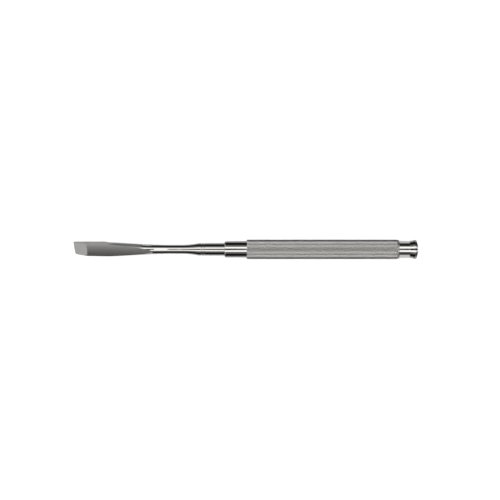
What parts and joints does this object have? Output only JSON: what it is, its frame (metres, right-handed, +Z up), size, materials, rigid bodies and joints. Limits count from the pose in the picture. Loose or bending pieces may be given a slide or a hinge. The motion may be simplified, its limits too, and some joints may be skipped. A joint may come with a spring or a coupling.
{
  "type": "bone chisel",
  "caption": "Slim steel bone chisel with a flat blade, a single skewed bevel, a round tapering shank, a ringed neck and a straight diamond-knurled handle with a flared, domed striking end.",
  "frame": {"origin": "on the surface the chisel lies on, midway along its length and straight under the axis of the handle", "axes": "+X along the handle's axis from the cutting edge to the striking end, +Z up"},
  "size_m": [0.17, 0.0096, 0.0096],
  "materials": {
    "blade_steel": "stainless steel, fine-ground satin on the blade and mirror-polished on the shank and neck",
    "handle_steel": "stainless steel, polished collar and tail and a diamond-knurled grip"
  },
  "bodies": {
    "root": {"working_end": "blade_steel", "handle": "handle_steel"}
  },
  "joints": []
}
